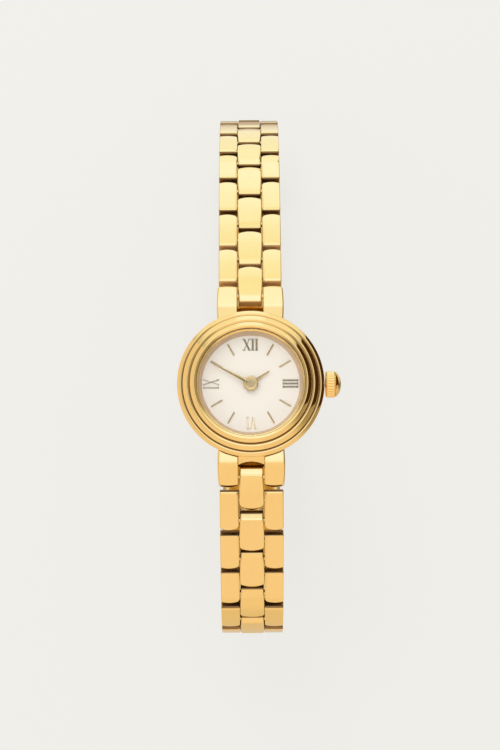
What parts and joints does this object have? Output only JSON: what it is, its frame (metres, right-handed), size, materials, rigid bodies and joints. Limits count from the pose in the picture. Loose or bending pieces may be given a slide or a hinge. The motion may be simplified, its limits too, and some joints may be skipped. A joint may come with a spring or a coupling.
{
  "type": "bracelet watch",
  "caption": "Small round quartz wristwatch with a stepped bezel, fluted crown and a jointed three-column link bracelet with a fold-over clasp.",
  "frame": {"origin": "centre of the case back's outer flat face, which lies on the wrist", "axes": "+Z out of the dial, +Y towards 12 o'clock, +X towards the crown at 3 o'clock"},
  "size_m": [0.0223, 0.078, 0.0415],
  "materials": {
    "polished_gold": "polished",
    "brushed_gold": "brushed",
    "crystal": "polished",
    "ivory_dial": "satin",
    "dark_gold": "polished",
    "wheel_brass": "satin",
    "movement_nickel": "satin",
    "battery_steel": "satin",
    "copper_winding": "satin",
    "stem_steel": "satin"
  },
  "bodies": {
    "case": {"case_body": "polished_gold", "case_back": "brushed_gold", "bezel": "polished_gold", "crystal": "crystal", "dial": "ivory_dial", "hour_markers": "dark_gold", "movement_plate": "movement_nickel", "battery": "battery_steel", "stepper_coil": "copper_winding"},
    "minute_hand": {"minute_hand": "dark_gold"},
    "hour_hand": {"hour_hand": "dark_gold", "hour_wheel": "wheel_brass"},
    "setting_lever": {"setting_lever": "stem_steel"},
    "crown": {"crown": "polished_gold", "winding_stem": "stem_steel"},
    "twelve_centre_link_01": {"twelve_centre_link_01": "polished_gold"},
    "twelve_side_links_01": {"twelve_side_links_01": "polished_gold"},
    "twelve_centre_link_02": {"twelve_centre_link_02": "polished_gold"},
    "twelve_side_links_02": {"twelve_side_links_02": "polished_gold"},
    "twelve_centre_link_03": {"twelve_centre_link_03": "polished_gold"},
    "twelve_side_links_03": {"twelve_side_links_03": "polished_gold"},
    "twelve_centre_link_04": {"twelve_centre_link_04": "polished_gold"},
    "twelve_side_links_04": {"twelve_side_links_04": "polished_gold"},
    "twelve_centre_link_05": {"twelve_centre_link_05": "polished_gold"},
    "twelve_side_links_05": {"twelve_side_links_05": "polished_gold"},
    "twelve_centre_link_06": {"twelve_centre_link_06": "polished_gold"},
    "twelve_side_links_06": {"twelve_side_links_06": "polished_gold"},
    "twelve_centre_link_07": {"twelve_centre_link_07": "polished_gold"},
    "twelve_side_links_07": {"twelve_side_links_07": "polished_gold"},
    "twelve_centre_link_08": {"twelve_centre_link_08": "polished_gold"},
    "twelve_side_links_08": {"twelve_side_links_08": "polished_gold"},
    "twelve_centre_link_09": {"twelve_centre_link_09": "polished_gold"},
    "twelve_side_links_09": {"twelve_side_links_09": "polished_gold"},
    "twelve_centre_link_10": {"twelve_centre_link_10": "polished_gold"},
    "twelve_side_links_10": {"twelve_side_links_10": "polished_gold"},
    "six_centre_link_01": {"six_centre_link_01": "polished_gold"},
    "six_side_links_01": {"six_side_links_01": "polished_gold"},
    "six_centre_link_02": {"six_centre_link_02": "polished_gold"},
    "six_side_links_02": {"six_side_links_02": "polished_gold"},
    "six_centre_link_03": {"six_centre_link_03": "polished_gold"},
    "six_side_links_03": {"six_side_links_03": "polished_gold"},
    "six_centre_link_04": {"six_centre_link_04": "polished_gold"},
    "six_side_links_04": {"six_side_links_04": "polished_gold"},
    "six_centre_link_05": {"six_centre_link_05": "polished_gold"},
    "six_side_links_05": {"six_side_links_05": "polished_gold"},
    "six_centre_link_06": {"six_centre_link_06": "polished_gold"},
    "six_side_links_06": {"six_side_links_06": "polished_gold"},
    "six_centre_link_07": {"six_centre_link_07": "polished_gold"},
    "six_side_links_07": {"six_side_links_07": "polished_gold"},
    "six_centre_link_08": {"six_centre_link_08": "polished_gold"},
    "six_side_links_08": {"six_side_links_08": "polished_gold"},
    "six_centre_link_09": {"six_centre_link_09": "polished_gold"},
    "six_side_links_09": {"six_side_links_09": "polished_gold"},
    "six_centre_link_10": {"six_centre_link_10": "polished_gold"},
    "six_side_links_10": {"six_side_links_10": "polished_gold"},
    "six_centre_link_11": {"six_centre_link_11": "polished_gold"},
    "six_side_links_11": {"six_side_links_11": "polished_gold"},
    "clasp_inner_blade": {"clasp_inner_blade": "brushed_gold"},
    "clasp_middle_blade": {"clasp_middle_blade": "brushed_gold"},
    "clasp_cover": {"clasp_cover": "polished_gold"}
  },
  "joints": [
    {"name": "minute_hand_turn", "type": "hinge", "parent": "case", "child": "minute_hand", "pos_m": [0, 0, 0.0033], "axis": [0, 0, -1], "continuous": true},
    {"name": "hour_hand_turn", "type": "hinge", "parent": "case", "child": "hour_hand", "pos_m": [0, 0, 0.0033], "axis": [0, 0, -1], "continuous": true},
    {"name": "crown_pull", "type": "slide", "parent": "case", "child": "setting_lever", "axis": [1, 0, 0], "range_m": [0, 0.001]},
    {"name": "crown_turn", "type": "hinge", "parent": "setting_lever", "child": "crown", "pos_m": [0, 0, 0.00225], "axis": [1, 0, 0], "continuous": true},
    {"name": "twelve_centre_link_01_hinge", "type": "hinge", "parent": "case", "child": "twelve_centre_link_01", "pos_m": [0, 0.0125, 0.0011], "axis": [-1, 0, 0], "range_deg": [-20, 0]},
    {"name": "twelve_side_links_01_hinge", "type": "hinge", "parent": "twelve_centre_link_01", "child": "twelve_side_links_01", "pos_m": [0, 0.01546, 0.00019], "axis": [-1, 0, 0], "range_deg": [-7, 0]},
    {"name": "twelve_centre_link_02_hinge", "type": "hinge", "parent": "twelve_side_links_01", "child": "twelve_centre_link_02", "pos_m": [0, 0.01808, -0.00081], "axis": [-1, 0, 0], "range_deg": [-3, 0]},
    {"name": "twelve_side_links_02_hinge", "type": "hinge", "parent": "twelve_centre_link_02", "child": "twelve_side_links_02", "pos_m": [0, 0.02097, -0.00192], "axis": [-1, 0, 0], "range_deg": [-3, 0]},
    {"name": "twelve_centre_link_03_hinge", "type": "hinge", "parent": "twelve_side_links_02", "child": "twelve_centre_link_03", "pos_m": [0, 0.02359, -0.00292], "axis": [-1, 0, 0], "range_deg": [-6, 0]},
    {"name": "twelve_side_links_03_hinge", "type": "hinge", "parent": "twelve_centre_link_03", "child": "twelve_side_links_03", "pos_m": [0, 0.02642, -0.00419], "axis": [-1, 0, 0], "range_deg": [-6, 0]},
    {"name": "twelve_centre_link_04_hinge", "type": "hinge", "parent": "twelve_side_links_03", "child": "twelve_centre_link_04", "pos_m": [0, 0.02891, -0.00546], "axis": [-1, 0, 0], "range_deg": [-7, 0]},
    {"name": "twelve_side_links_04_hinge", "type": "hinge", "parent": "twelve_centre_link_04", "child": "twelve_side_links_04", "pos_m": [0, 0.03157, -0.00705], "axis": [-1, 0, 0], "range_deg": [-9, 0]},
    {"name": "twelve_centre_link_05_hinge", "type": "hinge", "parent": "twelve_side_links_04", "child": "twelve_centre_link_05", "pos_m": [0, 0.03381, -0.00874], "axis": [-1, 0, 0], "range_deg": [-8, 0]},
    {"name": "twelve_side_links_05_hinge", "type": "hinge", "parent": "twelve_centre_link_05", "child": "twelve_side_links_05", "pos_m": [0, 0.03611, -0.01081], "axis": [-1, 0, 0], "range_deg": [-9, 0]},
    {"name": "twelve_centre_link_06_hinge", "type": "hinge", "parent": "twelve_side_links_05", "child": "twelve_centre_link_06", "pos_m": [0, 0.03798, -0.01289], "axis": [-1, 0, 0], "range_deg": [-8, 0]},
    {"name": "twelve_side_links_06_hinge", "type": "hinge", "parent": "twelve_centre_link_06", "child": "twelve_side_links_06", "pos_m": [0, 0.03985, -0.01537], "axis": [-1, 0, 0], "range_deg": [-9, 0]},
    {"name": "twelve_centre_link_07_hinge", "type": "hinge", "parent": "twelve_side_links_06", "child": "twelve_centre_link_07", "pos_m": [0, 0.04129, -0.01777], "axis": [-1, 0, 0], "range_deg": [-9, 0]},
    {"name": "twelve_side_links_07_hinge", "type": "hinge", "parent": "twelve_centre_link_07", "child": "twelve_side_links_07", "pos_m": [0, 0.0426, -0.02058], "axis": [-1, 0, 0], "range_deg": [-10, 0]},
    {"name": "twelve_centre_link_08_hinge", "type": "hinge", "parent": "twelve_side_links_07", "child": "twelve_centre_link_08", "pos_m": [0, 0.04347, -0.02324], "axis": [-1, 0, 0], "range_deg": [-21, 0]},
    {"name": "twelve_side_links_08_hinge", "type": "hinge", "parent": "twelve_centre_link_08", "child": "twelve_side_links_08", "pos_m": [0, 0.04347, -0.02634], "axis": [-1, 0, 0], "range_deg": [-21, 0]},
    {"name": "twelve_centre_link_09_hinge", "type": "hinge", "parent": "twelve_side_links_08", "child": "twelve_centre_link_09", "pos_m": [0, 0.0426, -0.029], "axis": [-1, 0, 0], "range_deg": [-21, 0]},
    {"name": "twelve_side_links_09_hinge", "type": "hinge", "parent": "twelve_centre_link_09", "child": "twelve_side_links_09", "pos_m": [0, 0.04078, -0.03151], "axis": [-1, 0, 0], "range_deg": [-20, 0]},
    {"name": "twelve_centre_link_10_hinge", "type": "hinge", "parent": "twelve_side_links_09", "child": "twelve_centre_link_10", "pos_m": [0, 0.03854, -0.0332], "axis": [-1, 0, 0], "range_deg": [-16, 0]},
    {"name": "twelve_side_links_10_hinge", "type": "hinge", "parent": "twelve_centre_link_10", "child": "twelve_side_links_10", "pos_m": [0, 0.03571, -0.03446], "axis": [-1, 0, 0], "range_deg": [-15, 0]},
    {"name": "six_centre_link_01_hinge", "type": "hinge", "parent": "case", "child": "six_centre_link_01", "pos_m": [0, -0.0125, 0.0011], "axis": [1, 0, 0], "range_deg": [-11, 0]},
    {"name": "six_side_links_01_hinge", "type": "hinge", "parent": "six_centre_link_01", "child": "six_side_links_01", "pos_m": [0, -0.01557, 0.00067], "axis": [1, 0, 0], "range_deg": [-11, 0]},
    {"name": "six_centre_link_02_hinge", "type": "hinge", "parent": "six_side_links_01", "child": "six_centre_link_02", "pos_m": [0, -0.01826, -0.0001], "axis": [1, 0, 0], "range_deg": [-18, 0]},
    {"name": "six_side_links_02_hinge", "type": "hinge", "parent": "six_centre_link_02", "child": "six_side_links_02", "pos_m": [0, -0.02092, -0.0017], "axis": [1, 0, 0], "range_deg": [-7, 0]},
    {"name": "six_centre_link_03_hinge", "type": "hinge", "parent": "six_side_links_02", "child": "six_centre_link_03", "pos_m": [0, -0.02321, -0.00331], "axis": [1, 0, 0], "range_deg": [-6, 0]},
    {"name": "six_side_links_03_hinge", "type": "hinge", "parent": "six_centre_link_03", "child": "six_side_links_03", "pos_m": [0, -0.02566, -0.00521], "axis": [1, 0, 0], "range_deg": [-6, 0]},
    {"name": "six_centre_link_04_hinge", "type": "hinge", "parent": "six_side_links_03", "child": "six_centre_link_04", "pos_m": [0, -0.02777, -0.00705], "axis": [1, 0, 0], "range_deg": [-13, 0]},
    {"name": "six_side_links_04_hinge", "type": "hinge", "parent": "six_centre_link_04", "child": "six_side_links_04", "pos_m": [0, -0.02972, -0.00946], "axis": [1, 0, 0], "range_deg": [-14, 0]},
    {"name": "six_centre_link_05_hinge", "type": "hinge", "parent": "six_side_links_04", "child": "six_centre_link_05", "pos_m": [0, -0.03103, -0.01193], "axis": [1, 0, 0], "range_deg": [-15, 0]},
    {"name": "six_side_links_05_hinge", "type": "hinge", "parent": "six_centre_link_05", "child": "six_side_links_05", "pos_m": [0, -0.03189, -0.01491], "axis": [1, 0, 0], "range_deg": [-15, 0]},
    {"name": "six_centre_link_06_hinge", "type": "hinge", "parent": "six_side_links_05", "child": "six_centre_link_06", "pos_m": [0, -0.03208, -0.01771], "axis": [1, 0, 0], "range_deg": [-20, 0]},
    {"name": "six_side_links_06_hinge", "type": "hinge", "parent": "six_centre_link_06", "child": "six_side_links_06", "pos_m": [0, -0.03139, -0.02073], "axis": [1, 0, 0], "range_deg": [-20, 0]},
    {"name": "six_centre_link_07_hinge", "type": "hinge", "parent": "six_side_links_06", "child": "six_centre_link_07", "pos_m": [0, -0.02999, -0.02315], "axis": [1, 0, 0], "range_deg": [-19, 0]},
    {"name": "six_side_links_07_hinge", "type": "hinge", "parent": "six_centre_link_07", "child": "six_side_links_07", "pos_m": [0, -0.02776, -0.0253], "axis": [1, 0, 0], "range_deg": [-15, 0]},
    {"name": "six_centre_link_08_hinge", "type": "hinge", "parent": "six_side_links_07", "child": "six_centre_link_08", "pos_m": [0, -0.02538, -0.02679], "axis": [1, 0, 0], "range_deg": [-12, 0]},
    {"name": "six_side_links_08_hinge", "type": "hinge", "parent": "six_centre_link_08", "child": "six_side_links_08", "pos_m": [0, -0.02253, -0.028], "axis": [1, 0, 0], "range_deg": [-10, 0]},
    {"name": "six_centre_link_09_hinge", "type": "hinge", "parent": "six_side_links_08", "child": "six_centre_link_09", "pos_m": [0, -0.01984, -0.02877], "axis": [1, 0, 0], "range_deg": [-8, 0]},
    {"name": "six_side_links_09_hinge", "type": "hinge", "parent": "six_centre_link_09", "child": "six_side_links_09", "pos_m": [0, -0.01679, -0.02936], "axis": [1, 0, 0], "range_deg": [-7, 0]},
    {"name": "six_centre_link_10_hinge", "type": "hinge", "parent": "six_side_links_09", "child": "six_centre_link_10", "pos_m": [0, -0.01401, -0.0297], "axis": [1, 0, 0], "range_deg": [-6, 0]},
    {"name": "six_side_links_10_hinge", "type": "hinge", "parent": "six_centre_link_10", "child": "six_side_links_10", "pos_m": [0, -0.01092, -0.02992], "axis": [1, 0, 0], "range_deg": [-6, 0]},
    {"name": "six_centre_link_11_hinge", "type": "hinge", "parent": "six_side_links_10", "child": "six_centre_link_11", "pos_m": [0, -0.00812, -0.02997], "axis": [1, 0, 0], "range_deg": [-6, 0]},
    {"name": "six_side_links_11_hinge", "type": "hinge", "parent": "six_centre_link_11", "child": "six_side_links_11", "pos_m": [0, -0.00502, -0.02986], "axis": [1, 0, 0], "range_deg": [-6, 0]},
    {"name": "clasp_inner_blade_hinge", "type": "hinge", "parent": "six_side_links_11", "child": "clasp_inner_blade", "pos_m": [0, -0.00223, -0.02962], "axis": [1, 0, 0], "range_deg": [-6.8, 0]},
    {"name": "clasp_middle_blade_hinge", "type": "hinge", "parent": "clasp_inner_blade", "child": "clasp_middle_blade", "pos_m": [0, 0.02809, -0.03388], "axis": [-1, 0, 0], "range_deg": [-130, 0]},
    {"name": "clasp_cover_hinge", "type": "hinge", "parent": "clasp_middle_blade", "child": "clasp_cover", "pos_m": [0, 0.00125, -0.03061], "axis": [1, 0, 0], "range_deg": [-140, 0]}
  ],
  "couplings": [
    {"joint": "hour_hand_turn", "follows": "minute_hand_turn", "ratio": 0.083333}
  ]
}
